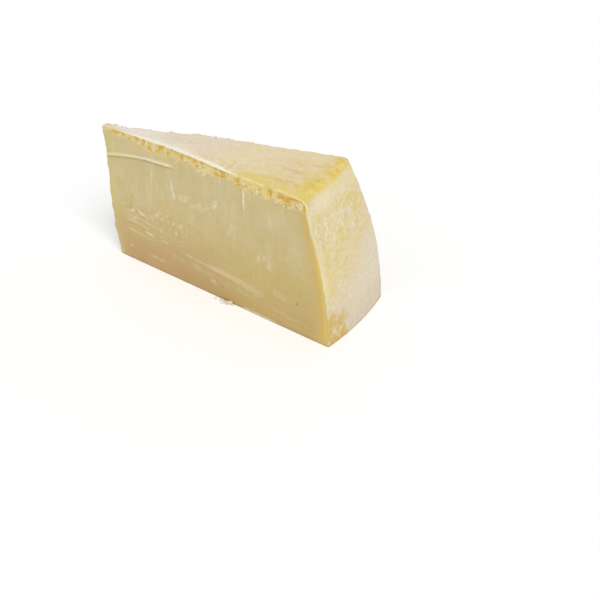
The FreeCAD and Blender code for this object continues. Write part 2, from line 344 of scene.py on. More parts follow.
# %% Round the upright corners and find which way each point faces
def soften(places, corner, reach, passes):
    """Averages the rings near one upright corner."""
    index = (corner + np.arange(-reach, reach + 1)) % places.shape[1]
    for _ in range(passes):
        middle = (places[:, index - 1] + places[:, (index + 1) % places.shape[1]]) / 2
        places[:, index] += 0.5 * (middle - places[:, index])


def facing(places):
    """Outward directions of a stack of rings, from its neighbours in the grid."""
    along = np.roll(places, -1, axis=1) - np.roll(places, 1, axis=1)
    upward = np.gradient(places, axis=0)
    out = np.cross(along, upward)
    return out / np.maximum(np.linalg.norm(out, axis=-1, keepdims=True), 1e-9)


for corner, passes in zip(corner_at, (4, 3, 4, 3)):
    soften(spots, corner, 3, passes)
outward = facing(spots)
print("mean outward x on the rind:", round(outward[:, corner_at[1] : corner_at[2], 0].mean(), 2))

# %% [markdown]
# ## The torn seam
# Just under the top crust the cheese is driest. There the knife didn't cut it: it broke into
# grains and left a ragged band of pits and crumbs below a thin smooth lip. The band is narrow
# at the point and goes down in steps, to more than twice that depth near the rind.
#
# What the eye goes to are its larger marks: gold pockets where a lump fell out, and pale
# lumps that stayed. On the front cut they are listed one by one, and noise frays their outlines.
# The rear cut takes them from the cellular noise.

# %% Marks of the torn seam
# Each has a radius, a depth below the top edge, a length, a width, a lean in degrees and a
# strength.
POCKETS = (
    (34, 3.2, 7, 3.2, 5, 0.5),
    (40.5, 1.7, 7.5, 3.2, 8, 1),
    (47.5, 1.8, 4.2, 3.4, 0, 0.6),
    (52.5, 3.4, 3.6, 3, 20, 0.5),
    (59, 1.8, 6, 3.2, -20, 1),
    (66.2, 3.4, 5.8, 3, 70, 0.7),
    (71.6, 6.2, 4.6, 2.8, -38, 0.8),
    (79.4, 5.6, 5.8, 3.4, 50, 0.8),
    (83.6, 2.8, 4.2, 3.2, 70, 1),
    (88.5, 5, 4.4, 2.6, 75, 0.6),
    (92.6, 1.8, 4.8, 2, 10, 0.8),
    (101, 4.2, 5, 2.8, 65, 0.8),
    (107.6, 2.2, 3.8, 1.8, 15, 0.6),
    (112, 3, 4.6, 3.6, 70, 1),
    (114, 5.6, 3.4, 2.6, 60, 0.8),
    (127, 7.2, 5, 1.8, 20, 0.5),
    (130.2, 4.6, 3, 2.2, 30, 0.6),
    (135, 2.2, 5, 2.8, 15, 0.8),
    (135, 5.1, 9, 2.2, 13, 1),
    (146.6, 4.4, 7, 4.4, 45, 1),
    (155, 5.2, 4.2, 2.2, 20, 0.6),
    (159, 8, 3.2, 2, 85, 0.6),
    (166, 3.4, 4.6, 2.2, 20, 0.7),
    (173.4, 3.8, 5, 3.6, 80, 0.8),
    (181.8, 3.4, 5.4, 2.8, 15, 0.8),
    (186.6, 5.2, 7.4, 4, 55, 1),
    (192.6, 1.8, 8, 2.8, 0, 1),
    (200, 4.6, 5, 2.4, 80, 0.7),
)
LUMPS = (
    (61.4, 5, 5.4, 2.2, 35, 0.7),
    (69.2, 2.8, 5.4, 2.2, 75, 0.7),
    (75.6, 4, 6.4, 3, 75, 0.7),
    (96, 8.2, 7, 2.2, 40, 0.5),
    (103.6, 5.2, 3.6, 2.2, 35, 0.8),
    (115.6, 7.4, 5, 2.8, 40, 0.8),
    (120.2, 7.8, 6, 3, 60, 0.9),
    (123.8, 4.8, 5.4, 3, 35, 0.6),
    (140.4, 5.4, 5.6, 2, 85, 0.9),
    (149.8, 3.4, 3.4, 2.6, 40, 0.8),
    (156.4, 4.6, 2.8, 2, 30, 0.6),
    (163.6, 6.4, 4, 2.2, 25, 0.8),
    (171.4, 7.4, 4, 2.2, 20, 0.7),
    (178.4, 7.2, 5.6, 2.6, -30, 1),
    (190.4, 7.6, 6, 2.8, 40, 0.8),
    (197.8, 5.8, 3.8, 2.6, 60, 1),
)
REAR_MARK_SIZE = 4.6


def strokes(marks, ragged, radius, height):
    """How strongly the marks show at each point, with outlines frayed by a noise."""
    shown = np.zeros_like(radius)
    for place, level, long, wide, lean, strength in marks:
        slope = math.radians(lean)
        along = (radius - place) * math.cos(slope) + (height - level) * math.sin(slope)
        across = (height - level) * math.cos(slope) - (radius - place) * math.sin(slope)
        reach = np.hypot(2 * along / long, 2 * across / wide) + ragged
        shown = np.maximum(shown, strength * ease(reach, 1.3, 0.3))
    return shown


def front_marks(places, radius, below_top):
    """Pockets and lumps of the front cut. Their level is a depth below the top edge."""
    ragged = 0.6 * swell(places, 2.1, 18, 3)
    hung = [[(mark[0], -mark[1], *mark[2:]) for mark in marks] for marks in (POCKETS, LUMPS)]
    return [strokes(marks, ragged, radius, -below_top) for marks in hung]


def rear_marks(places, seed):
    """Pockets and lumps of the rear cut."""
    spot, kind = grains(places, REAR_MARK_SIZE, seed)
    blot = ease(spot + 0.35 * swell(places, 2.1, seed + 1, 3), 0.6, 0.2)
    return 0.5 * blot * (kind > 0.5), 0.8 * blot * (kind < 0.25)


print(len(POCKETS), "pockets and", len(LUMPS), "lumps placed by hand")

# %% [markdown]
# The band's lower edge is a stepped curve plus noise. Inside it two sizes of grains from the
# cellular noise break the surface up, the marks sink or raise it, and all of it lies a little
# behind the smooth cut. Each point also gets a ripeness, low in pockets and high on lumps, and
# lowered just under the lip as painted shade of the recess there. It goes into the mesh as an
# attribute, so that the colours fall exactly where the relief is.

# %% Relief of the torn seam
SEAM_AT_POINT = 4.2
SEAM_STEPS = ((52, 72, 3), (106, 116, 1.6), (122, 134, -2.2), (149, 154, 3))
SEAM_BULGES = ((80, 5, 0.8), (175, 5, -1.6))
COARSE_GRAIN = 3.1
FINE_GRAIN = 1.4


def seam_fall(radius):
    """Usual depth of the seam's lower edge below the top edge."""
    steps = sum(fall * ease(radius, start, end) for start, end, fall in SEAM_STEPS)
    bulges = sum(fall * hump(radius, middle, reach) for middle, reach, fall in SEAM_BULGES)
    return SEAM_AT_POINT + steps + bulges


def seam_lip(places, radius, seed):
    """Thickness of the smooth lip of crust over the seam."""
    lip = 0.5 + 0.5 * ease(radius, 56, 68) - 0.3 * ease(radius, 110, 130)
    return lip + 0.3 * swell(places, 6, seed + 1, 3)


def torn_seam(places, radius, below_top, from_rind, seed, pockets, lumps):
    """Where the cut face is torn, from 0 to 1, and the relief and the ripeness of its grains, with
    painted shade just under the lip.
    """
    lip = seam_lip(places, radius, seed)
    lower = seam_fall(radius) + 1.3 * swell(places, 6, seed, 4)
    depth = (below_top - lip) / np.maximum(lower - lip, 1)
    torn = np.maximum(1 - ease(depth, 0.5, 1.15), ease(np.maximum(pockets, lumps), 0.1, 0.4))
    torn *= ease(below_top, lip - 0.3, lip + 0.5) * (1 - ease(depth, 1.3, 1.8))
    torn *= ease(from_rind, 1.2, 2.6)
    coarse, number = grains(places, COARSE_GRAIN, seed + 2)
    fine, _ = grains(places, FINE_GRAIN, seed + 3)
    rough = 0.55 + 0.45 * ease(radius, 60, 120)
    relief = 0.3 * (0.55 - coarse) + 0.32 * (0.5 - fine) + 0.3 * (number - 0.5)
    relief = rough * relief + 0.25 * swell(places, 3.5, seed + 4, 2)
    ripe_and_shade = 1.1 * relief + 1.1 * lumps - 1.3 * pockets
    # Painted shade of the recess under the lip: the ripeness drops there, so the colour turns gold.
    ripe_and_shade -= 0.5 * hump(depth, 0.12, 0.16) * ease(radius, 62, 90) * ease(radius, 146, 134)
    sunk = 0.1 + 0.22 * (1 - ease(depth, 0, 0.8)) * (1 - 0.6 * ease(radius, 136, 148))
    return torn, relief + 0.3 * lumps - 0.42 * pockets - sunk, ripe_and_shade


for place in (POINT_RADIUS, 120, 190):
    print(f"the seam is {seam_fall(place):.1f} mm deep at {place} mm from the axis")

# %% [markdown]
# ## What the knife left on the cut faces
# Below the seam the cut is smooth, but not perfectly. Where the knife stopped it pushed up a
# long smear, which starts at the point and climbs to the right. Lower down it dragged the
# paste into faint level streaks. A short upright crease marks where the seam steps, and a few
# grains fell out and left pits.

# %% Relief of the smooth cut
SMEAR_START = 72.6
SMEAR_RISE = 9.4
SMEAR_LENGTH = 70
SMEAR_FADE = (86, 97)
STREAK_FALL = 0.107
CREASE_PLACE = 152
# Each pit has a radius, a height and a size.
PITS = ((118.6, 10.2, 0.7), (132, 9.6, 0.8), (194.5, 20.6, 1.1), (60, 39.6, 1.3), (53, 38.6, 1))


def smear(radius, height):
    """How strongly the smear shows, and how far a point lies above its ridge."""
    along = np.clip((radius - POINT_RADIUS) / SMEAR_LENGTH, 0, 1)
    ridge = SMEAR_START + SMEAR_RISE * (1 - (1 - along) ** 2.2) + 0.08 * np.sin(radius / 4.7)
    ridge -= 2.2 * ease(radius, 91, 97)
    strength = 1 - ease(radius, *SMEAR_FADE)
    strength *= ease(radius, POINT_RADIUS - 1, POINT_RADIUS + 3)
    return strength, height - ridge


def drag(radius, height, seed):
    """Long streaks of dragged paste that sink a little to the right: white over 0, bare under."""
    level = height + STREAK_FALL * (radius - 36) + 0.5 * np.sin(radius / 13)
    stretched = np.stack([radius * 0.05, level, np.full_like(radius, 5 * seed)], -1)
    zone = hump(level, 27, 9) * ease(radius, 34, 50)
    return np.clip(1.5 * swell(stretched, 2.4, seed, 3), -1, 1) * zone


def cut_relief(places, radius, height, seed):
    """Relief of a smooth cut face."""
    relief = 0.34 * swell(places, 34, seed, 2) + 0.07 * swell(places, 5, seed + 1, 3)
    upright = np.stack([radius, height * 0.06, np.zeros_like(radius)], -1)
    relief += 0.05 * swell(upright, 1.8, seed + 2, 2)
    return relief + 0.12 * drag(radius, height, seed + 3)


def knife_marks(radius, height):
    """Relief of the smear, the crease and the pits on the front cut."""
    strength, above = smear(radius, height)
    thick = 1 + 0.15 * np.sin(radius / 6.1 + 1)
    relief = strength * (0.9 * thick * hump(above, 0.1, thick) - 0.3 * hump(above, -1.8, 0.8))
    relief += strength * 0.4 * ease(above, -1, 0.5) * (1 - ease(above, 3, 9))
    crease = ease(height, 68, 73) * (1 - ease(height, 86, 90))
    beside = radius - CREASE_PLACE
    relief += crease * (0.4 * hump(beside, 0, 1) - 0.1 * hump(beside, -2.2, 1.2))
    for place, level, size in PITS:
        reach = np.hypot(radius - place, height - level)
        relief -= 0.55 * size * hump(reach, 0, 0.75 * size)
    return relief


print("the smear climbs from", SMEAR_START, "to", SMEAR_START + SMEAR_RISE, "mm;", len(PITS), "pits")

# %% [markdown]
# Where fat was smeared it has dried white. Those marks are short strokes at all angles, so
# they are placed like the pockets of the seam. They stand a little proud, like the smear.

# %% Strokes of white fat
# Each has a radius, a height, a length, a width, a lean in degrees and a strength.
FAT_STROKES = (
    (67.5, 72.5, 10, 3, 80, 0.5),
    (72, 70, 13, 3.6, 84, 0.6),
    (90, 68, 16, 3.2, 95, 0.6),
    (91.5, 61.5, 6, 3.6, 90, 0.8),
    (100, 62, 15, 6, 15, 0.5),
    (112, 61, 16, 5.6, 20, 0.5),
    (121.5, 63, 13, 5.6, 35, 0.7),
    (127.5, 66, 12, 5, 55, 0.7),
    (140, 52.5, 12, 5, 70, 0.4),
    (152.5, 79, 18, 2, 90, 0.8),
    (163.5, 41.5, 8, 3.4, 85, 0.5),
    (168, 43, 7, 3, 75, 0.4),
    (172, 40, 9, 3.4, 95, 0.5),
    (180, 22, 20, 8, -30, 0.3),
    (49, 38, 9, 2.4, 15, 0.8),
    (59, 38.6, 9, 2.4, -10, 0.8),
    (75, 43, 9, 3.4, 20, 0.6),
    (96, 41, 9, 4, 30, 0.5),
    (66, 25.6, 11, 2.4, -6, 0.9),
    (82, 23.8, 12, 2, -8, 0.7),
    (101, 21.6, 15, 2, -8, 0.6),
    (124, 10.6, 9, 4, 0, 0.45),
    (72, 9, 22, 1.6, 0, 0.4),
    (47, 10.5, 2.6, 1.8, 0, 0.9),
    (164, 1.2, 38, 1.6, 0, 0.9),
)


def fat(places, radius, height):
    """How white with fat each point of the front cut is, and below 0 where a pit gets painted shade.
    """
    fat_and_pit_shade = strokes(FAT_STROKES, 0.6 * swell(places, 4.2, 91, 4), radius, height)
    # In the pits the mask goes below 0, for painted shade.
    for place, level, size in PITS:
        fat_and_pit_shade -= 1.2 * hump(np.hypot(radius - place, height - level), 0, 0.6 * size)
    return fat_and_pit_shade


print(len(FAT_STROKES), "strokes of fat")

# %% [markdown]
# ## The rind
# The side was pressed in a cloth-lined mould and has been brushed many times since. It has
# broad dents, fine level lines left by the cloth, and small scuffs. These are shallow, so
# only the dents and the coarser lines are shaped, and the finest grain is left to the finish.

# %% Relief of the crust
def rind_relief(places, height, turn):
    """Relief of the wheel's side."""
    relief = 0.42 * swell(places, 24, 61, 3) + 0.14 * swell(places, 3.2, 62, 3)
    level = height + 7 * turn
    stretched = np.stack([places[..., 0] * 0.08, places[..., 1] * 0.08, level], -1)
    relief += 0.12 * swell(stretched, 1.7, 63, 2)
    pocked, number = grains(places, 4.2, 64)
    return relief - 0.35 * (number > 0.8) * (1 - ease(pocked, 0.15, 0.4))


def top_relief(places, radius):
    """Relief of the wheel's top, rougher towards the rear edge where the crust crumbled."""
    relief = 0.32 * swell(places, 20, 71, 2) + 0.15 * swell(places, 2.6, 72, 3)
    from_rear = -(places @ REAR_OUT) - rear_inset(radius, np.full_like(radius, HEIGHT))
    crumbled = (1 - ease(from_rear, 0, 3.5)) * (1 - 0.65 * ease(radius, 85, 130))
    return relief - crumbled * (0.5 + 1.1 * swell(places, 3.4, 73, 3))


sample = top_relief(spots[-1], radius[-1])
print("relief round the top, mm:", round(sample.min(), 1), "to", round(sample.max(), 1))

# %% [markdown]
# Now every region of the grid gets its own relief, a distance in millimetres, and its points
# move outwards by that much. It fades out at the upper edge, where the top's relief takes
# over, and almost at the foot, which has to stay flat on the floor. A displace modifier could
# do this from a texture, but then the masks for the colours wouldn't follow it.

# %% Press all the reliefs into the grid
FRONT_SEED = 11
REAR_SEED = 31
REAR_MARK_SEED = 37
FAT_RISE = 0.22
TIP_ROUGHNESS = 0.55

front, side, rear = corner_at[1:]
front_cut, rind_side, rear_cut = np.s_[:, :front], np.s_[:, front:side], np.s_[:, side:rear]
below_top = HEIGHT + dome(radius, turn) - height
torn, ripe_and_shade, fat_and_pit_shade, push, from_rind = (np.zeros_like(radius) for _ in range(5))
from_rind[:, :front] = radius[:, front : front + 1] - radius[:, :front]
from_rind[:, side:] = radius[:, side : side + 1] - radius[:, side:]

hand_marks = front_marks(spots[front_cut], radius[front_cut], below_top[front_cut])
cell_marks = rear_marks(spots[rear_cut], REAR_MARK_SEED)
for cut, seed, marks in ((front_cut, FRONT_SEED, hand_marks), (rear_cut, REAR_SEED, cell_marks)):
    args = (spots[cut], radius[cut], below_top[cut], from_rind[cut], seed)
    torn[cut], grit, ripe_and_shade[cut] = torn_seam(*args, *marks)
    push[cut] = cut_relief(spots[cut], radius[cut], height[cut], seed + 8) + torn[cut] * grit

fat_and_pit_shade[front_cut] = fat(spots[front_cut], radius[front_cut], height[front_cut])
knifed = knife_marks(radius[front_cut], height[front_cut]) + FAT_RISE * np.maximum(fat_and_pit_shade[front_cut], 0)
push[front_cut] += knifed * (1 - torn[front_cut])
push[rind_side] = rind_relief(spots[rind_side], height[rind_side], turn[rind_side])
push[:, rear:] = TIP_ROUGHNESS * swell(spots[:, rear:], 5, 81, 4)
push *= 1 - ease(below_top, 0.6, 0)
push[0] *= 0.3

spots += outward * push[..., None]
upper = ease(below_top, 5, 0)
spots[..., 2] += upper * top_relief(spots * np.array([1, 1, 0]), radius)
spots[0, :, 2] = 0
print("deepest tear, mm:", round(float(-push.min()), 2))

# %% [markdown]
# ## Closing the stack
# The top and the base could be closed with one many-sided face each. The base can, because
# nobody sees it, but the top is a surface in its own right, with dry grain and a crumbled
# edge. It is filled with evenly scattered points, joined into triangles by Blender's Delaunay
# function, so it has as much detail as the sides and shares its border with them.

# %% Fill an outline with triangles
BATCH = 4000
BORDER_GAP = 0.4


def inside(points, outline):
    """Whether each point lies within a closed outline and clear of its corners."""
    ahead = np.roll(outline, -1, axis=0)
    rise = ahead[:, 1] - outline[:, 1]
    rise = np.where(rise == 0, 1e-9, rise)
    found = np.zeros(len(points), dtype=bool)
    for start in range(0, len(points), BATCH):
        x, y = points[start : start + BATCH, :1], points[start : start + BATCH, 1:]
        crosses = (outline[:, 1] > y) != (ahead[:, 1] > y)
        border = outline[:, 0] + (y - outline[:, 1]) * (ahead[:, 0] - outline[:, 0]) / rise
        clear = np.hypot(outline[:, 0] - x, outline[:, 1] - y).min(axis=1) > BORDER_GAP
        found[start : start + BATCH] = ((crosses & (x < border)).sum(axis=1) % 2 == 1) & clear
    return found


def fill_in(outline, gap, seed):
    """Points scattered inside an outline, and triangles that join them to it and each other."""
    low, high = outline.min(axis=0), outline.max(axis=0)
    columns, lines = np.meshgrid(np.arange(low[0], high[0], gap), np.arange(low[1], high[1], gap))
    scattered = np.stack([columns.ravel(), lines.ravel()], -1)
    scattered += np.random.default_rng(seed).uniform(-0.33, 0.33, scattered.shape) * gap
    scattered = scattered[inside(scattered, outline)]
    corners = [Vector(point) for point in np.vstack([outline, scattered]).tolist()]
    result = delaunay_2d_cdt(corners, [], [list(range(len(outline)))], 1, 1e-5)
    source = [made_from[0] for made_from in result[3]]
    return scattered, [[source[corner] for corner in face] for face in result[2]]


_, sample = fill_in(np.array([(0.0, 0), (10, 0), (10, 10), (0, 10)]), 1, 5)
print(len(sample), "triangles fill a small square")

# %% Fill the top and the base
TOP_GAP = 0.62
BASE_GAP = 14

top_plan, top_faces = fill_in(spots[-1, :, :2], TOP_GAP, 5)
base_plan, base_faces = fill_in(spots[0, :, :2], BASE_GAP, 6)
top_radius = np.hypot(top_plan[:, 0], top_plan[:, 1])
top_turn = (np.arctan2(top_plan[:, 1], top_plan[:, 0]) / HALF_ANGLE + 1) / 2
top_turn = np.clip(top_turn, 0, 1)
flat_plan = np.column_stack([top_plan, np.zeros(len(top_plan))])
top_height = HEIGHT + dome(top_radius, top_turn) + top_relief(flat_plan, top_radius)
top_points = np.column_stack([top_plan, top_height])
base_points = np.column_stack([base_plan, np.zeros(len(base_plan))])
print(len(top_faces), "triangles on the top and", len(base_faces), "on the base")

# %% [markdown]
# ## Telling the finish what is where
# The finish has to know which face a point belongs to, how deep it is in the torn seam, and
# where the knife's marks lie. Painting that by hand, or unwrapping the block, isn't needed:
# each mask is one number per vertex, stored in the mesh as an attribute, which the material
# reads back by name.

# %% Masks on the grid
FAR = 99
MASKS = (
    "radius", "height", "turn", "cut", "rind", "top", "tip", "edge",
    "torn", "ripe_and_shade", "lip", "smear", "fat_and_pit_shade", "drag", "worn", "ridge",
)


def lip_line(places, radius, below_top, from_rind):
    """The pale lip along the front's top edge: on the cut, and a little way over the top."""
    lip = seam_lip(places, radius, FRONT_SEED) + 8 * ease(from_rind, 3, 0.8)
    from_front = -(places @ FRONT_OUT)
    reach = 0.2 + 2.3 * (1 - ease(radius, 137, 150)) + 0.8 * swell(places, 4, 95, 3)
    over = 1 - ease(from_front, reach, reach + 1)
    return over * (1 - ease(below_top, lip - 0.1, lip + 0.4))


def worn_crust(places, radius, turn):
    """Where hands and brushes have worn the top's border yellow."""
    border = 144 + 50 * ease(turn, 0.07, 0.5) + 4 * swell(places, 8, 96, 4)
    return ease(radius - border, -2.5, 4)


def shoulder_ridge(places, radius, height, turn):
    """Closeness to the shoulder, the worn edge between the side and the top."""
    rim = 193 + 6.5 * np.exp(-turn / 0.12) + 1.6 * swell(places, 8, 97, 4)
    beyond = radius - rim
    beyond = np.where(beyond < 0, 0.6 * beyond, beyond)
    rubbed = hump(np.hypot(beyond, 1.05 * (height - HEIGHT + 1)), 0, 4)
    return rubbed * (0.5 + 0.5 * ease(turn, 0.04, 0.25))


grid = {name: np.zeros_like(radius) for name in MASKS}
grid["radius"], grid["height"], grid["turn"] = radius, height, turn
grid["torn"], grid["ripe_and_shade"] = torn, ripe_and_shade
grid["lip"] = lip_line(spots, radius, below_top, from_rind + FAR * (turn > 0))
grid["worn"] = worn_crust(spots, radius, turn)
grid["ridge"] = shoulder_ridge(spots, radius, height, turn)
grid["top"] = ease(below_top, 0.9, 0.1)
grid["top"][:, front:side] = ease(below_top, 7, 0.5)[:, front:side]
grid["rind"][:, front:side] = 1 - grid["top"][:, front:side]
grid["cut"] = 1 - grid["top"] - grid["rind"]
grid["tip"][:, rear:] = 1
grid["tip"][:, :front] = ease(radius - point_break(height), 5, 2)[:, :front]
grid["edge"] = from_rind
strength, above = smear(radius[:, :front], height[:, :front])
# Over 0 the smear mask whitens the crest, partly fat and partly a painted highlight; under 0 it gives
# painted shade below the ridge.
grid["smear"][:, :front] = strength * (hump(above, 0.4, 1) - 0.9 * hump(above, -1.5, 0.7))
grid["fat_and_pit_shade"] = fat_and_pit_shade
grid["drag"] = drag(radius, height, 22) * (torn < 0.5)
print("torn share of the front cut:", round(torn[:, :front].mean(), 3))

# %% [markdown]
# The mesh itself is then plain: the grid's squares, the two fillings, and the masks. It is
# shaded smooth, since its corners are already round. The base is turned over to face down.

# %% Build the block
def put_mesh(name, points, faces, masks):
    """Makes a mesh object from points in millimetres about the wheel's axis."""
    mesh = bpy.data.meshes.new(name)
    places = points * MM + np.array([AXIS_X, 0, 0])
    mesh.from_pydata(places.tolist(), [], faces)
    mesh.shade_smooth()
    for label, values in masks.items():
        layer = mesh.attributes.new(label, "FLOAT", "POINT")
        layer.data.foreach_set("value", values.astype(np.float32))
    piece = bpy.data.objects.new(name, mesh)
    bpy.context.collection.objects.link(piece)
    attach(piece, "root")
    return piece


def filling_masks(points, radius, turn, zone):
    """Masks of a filling, which lies wholly in one zone."""
    masks = {name: np.zeros(len(points)) for name in MASKS}
    masks["radius"], masks["height"], masks["turn"] = radius, points[:, 2], turn
    masks[zone] = np.ones(len(points))
    masks["lip"] = lip_line(points, radius, np.zeros(len(points)), np.full(len(points), FAR))
    masks["worn"] = worn_crust(points, radius, turn)
    masks["ridge"] = shoulder_ridge(points, radius, points[:, 2], turn)
    return masks


def renumber(faces, border, first, count):
    """A filling's faces in the whole mesh's numbers: its border's, then its own from first."""
    return np.concatenate([border, first + np.arange(count)])[np.array(faces)]


squares = []
for line in range(len(rows) - 1):
    low = line * ring + np.arange(ring)
    right = line * ring + (np.arange(ring) + 1) % ring
    squares += np.stack([low, right, right + ring, low + ring], -1).tolist()

grid_count = len(rows) * ring
base_start = grid_count + len(top_points)
top_border = np.arange(grid_count - ring, grid_count)
top_faces = renumber(top_faces, top_border, grid_count, len(top_points)).tolist()
base_faces = renumber(base_faces, np.arange(ring), base_start, len(base_points))[:, ::-1].tolist()
top_masks = filling_masks(top_points, top_radius, top_turn, "top")
base_radius = np.hypot(base_plan[:, 0], base_plan[:, 1])
base_masks = filling_masks(base_points, base_radius, np.full(len(base_points), 0.5), "rind")
masks = {}
for label in MASKS:
    masks[label] = np.concatenate([grid[label].ravel(), top_masks[label], base_masks[label]])

points = np.vstack([spots.reshape(-1, 3), top_points, base_points])
block = put_mesh("cheese_block", points, squares + top_faces + base_faces, masks)
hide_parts(NODE)
print(len(block.data.vertices), "points,", len(block.data.polygons), "faces")

# %% [markdown]
# ## Crumbs
# The grains of the seam are not all still part of the block. Many are loose crumbs that cling
# to it, with gaps and shadows under them, which relief alone can't give. Each is a small ball
# with its points pushed about. Particles could scatter them, but joined into one mesh they
# keep their own shapes and go wherever the mesh goes. Each carries a number for its shade.

# %% Make crumbs
CRUMB_PARTS = 2


def ball_of(parts):
    """Points and faces of a small ball."""
    shape = bmesh.new()
    bmesh.ops.create_icosphere(shape, subdivisions=parts, radius=1)
    places = np.array([corner.co for corner in shape.verts])
    faces = np.array([[corner.index for corner in face.verts] for face in shape.faces])
    shape.free()
    return places, faces


def crumbs(name, middles, ways, sizes, seed):
    """Uneven little lumps, flattened along the way each one faces."""
    rng = np.random.default_rng(seed)
    ball, faces = ball_of(CRUMB_PARTS)
    places, joined, shade = [], [], []
    for number, (middle, way, size) in enumerate(zip(middles, ways, sizes)):
        stretch = rng.uniform(0.7, 1.3, 3)
        lump = ball * stretch * (1 + 0.34 * swell(ball * 0.9 + 7 * number, 1, seed, 2))[:, None]
        lump -= 0.35 * (lump @ way)[:, None] * way
        places.append(middle + lump * size)
        joined.append(faces + number * len(ball))
        shade.append(np.full(len(ball), rng.uniform()))
    masks = {"shade": np.concatenate(shade)}
    places = np.vstack(places)
    places[:, 2] = np.maximum(places[:, 2], 0)
    return put_mesh(name, places, np.vstack(joined).tolist(), masks)


def pick(weights, number, seed):
    """Grid places drawn at random, more often where the weight is high."""
    share = weights.ravel() / weights.sum()
    return np.random.default_rng(seed).choice(weights.size, number, replace=False, p=share)


print("each crumb has", len(ball_of(CRUMB_PARTS)[1]), "faces")

# %% [markdown]
# In the front seam the crumbs cling low in the torn band, most of them towards the rind. In
# the rear seam they are anywhere in it.

# %% Crumbs in the seams
FRONT_CRUMBS = 130
REAR_CRUMBS = 170

outward = facing(spots)
front_torn = torn.copy()
front_torn[:, front:] = 0
rear_torn = torn - front_torn
low_down = (0.15 + ease(radius, 95, 150)) * ease(below_top, 2, 5.5)
in_front = pick(front_torn**2 * low_down, FRONT_CRUMBS, 51)
behind = pick(rear_torn**2, REAR_CRUMBS, 52)
chosen = np.concatenate([in_front, behind])
sizes = 0.35 + 0.5 * np.random.default_rng(53).uniform(size=len(chosen)) ** 2
places = spots.reshape(-1, 3)[chosen]
ways = outward.reshape(-1, 3)[chosen]
seam_crumbs = crumbs("seam_crumbs", places + ways * sizes[:, None] * 0.15, ways, sizes, 54)
print(len(chosen), "crumbs in the seam,", len(seam_crumbs.data.polygons), "faces")

# %% [markdown]
# The dry crust crumbles too. Its crumbs lie along the rear edge of the top, where it broke,
# and a small heap of them has fallen to the foot of the front cut.

# %% Crumbs of crust
EDGE_CRUMBS = 90
FALLEN_CRUMBS = 26
HEAP_PLACE = 136
HEAP_REACH = np.array([3.4, 1.1])

rear_edge = ease(below_top, 1.2, 0.2) * hump(radius, 68, 34) * ease(radius, 37, 42)
rear_edge[:, :side] = 0
rear_edge[:, rear:] = 0
chosen = pick(rear_edge, EDGE_CRUMBS, 55)
rng = np.random.default_rng(56)
on_edge = spots.reshape(-1, 3)[chosen] + np.array([0, 0, 0.15])
fallen = rng.normal(size=(FALLEN_CRUMBS, 2)) * HEAP_REACH
foot = (HEAP_PLACE + fallen[:, :1]) * FRONT_WAY + (1 + np.abs(fallen[:, 1:])) * FRONT_OUT
foot[:, 2] = 0.5
places = np.vstack([on_edge, foot])
edge_sizes = 0.35 + 0.55 * rng.uniform(size=EDGE_CRUMBS) ** 2
fallen_sizes = 0.6 + 0.8 * rng.uniform(size=FALLEN_CRUMBS) ** 2
sizes = np.concatenate([edge_sizes, fallen_sizes])
ways = np.tile(np.array([0, 0, 1]), (len(places), 1))
crust_crumbs = crumbs("crust_crumbs", places, ways, sizes, 57)
print(len(places), "crumbs of crust")

# %% [markdown]
# ## Sums with sockets
# The finish is mostly arithmetic on masks and noise. Built by hand that is a wide net of
# small nodes. Here a socket is wrapped in a class that knows plus, minus and times, so that a
# sum written as a line of Python becomes its Math nodes. All other nodes come from one method.

# %% A socket that can be used in sums
class Wire:
    """An output socket, or with no socket just the place where nodes are made."""

    def __init__(self, tree, socket=None):
        self.tree = tree
        self.socket = socket

    def node(self, kind, settings, plugs, out=0):
        """Makes a node: first its settings, then a value or wire for each input."""
        made = self.tree.nodes.new(kind)
        for name, value in settings.items():
            setattr(made, name, value)
        for name, value in plugs.items():
            if isinstance(value, Wire):
                self.tree.links.new(value.socket, made.inputs[name])
            else:
                made.inputs[name].default_value = value
        return Wire(self.tree, made.outputs[out] if made.outputs else None)

    def maths(self, operation, *values):
        """One Math node on numbers or wires."""
        plugs = dict(enumerate(values))
        return self.node("ShaderNodeMath", {"operation": operation}, plugs)

    def __add__(self, other):
        return self.maths("ADD", self, other)

    def __sub__(self, other):
        return self.maths("SUBTRACT", self, other)

    def __rsub__(self, other):
        return self.maths("SUBTRACT", other, self)

    def __mul__(self, other):
        return self.maths("MULTIPLY", self, other)

    __radd__ = __add__
    __rmul__ = __mul__


number_first = [name for name in vars(Wire) if name.startswith("__r")]
print("a plain number may come first in:", number_first)

# %% [markdown]
# What the finishes do again and again gets a name too: a soft step, a band between two of
# them, one colour laid over another, noise and its blotches, and reading a mask. Noise is
# sized in millimetres of the object itself, so it needs no unwrapping and stays where it is.

# %% Steps, layers, noise and masks
def step(wire, start, end):
    """0 before start, 1 after end and a smooth climb between them."""
    plugs = {"Value": wire, "From Min": start, "From Max": end}
    return wire.node("ShaderNodeMapRange", {"interpolation_type": "SMOOTHSTEP"}, plugs)


def band(wire, start, full, fall, end):
    """1 from full to fall, with a smooth climb from start and a smooth way down to end."""
    return step(wire, start, full) * step(wire, end, fall)


def blend(factor, under, over):
    """One colour laid over another."""
    return factor.node("ShaderNodeMix", {"data_type": "RGBA"}, {0: factor, 6: under, 7: over}, 2)


def lay(colour, *layers):
    """Lays more colours over one, in turn, each with its own share."""
    for share, over in layers:
        colour = blend(share, colour, over)
    return colour


def tint(red, green, blue, lift=1):
    """A screen colour, 0 to 255, as the linear numbers that shaders use, lifted a little."""
    linear = [((value / 255 + 0.055) / 1.055) ** 2.4 for value in (red, green, blue)]
    return (*[min(value * lift, 0.97) for value in linear], 1)


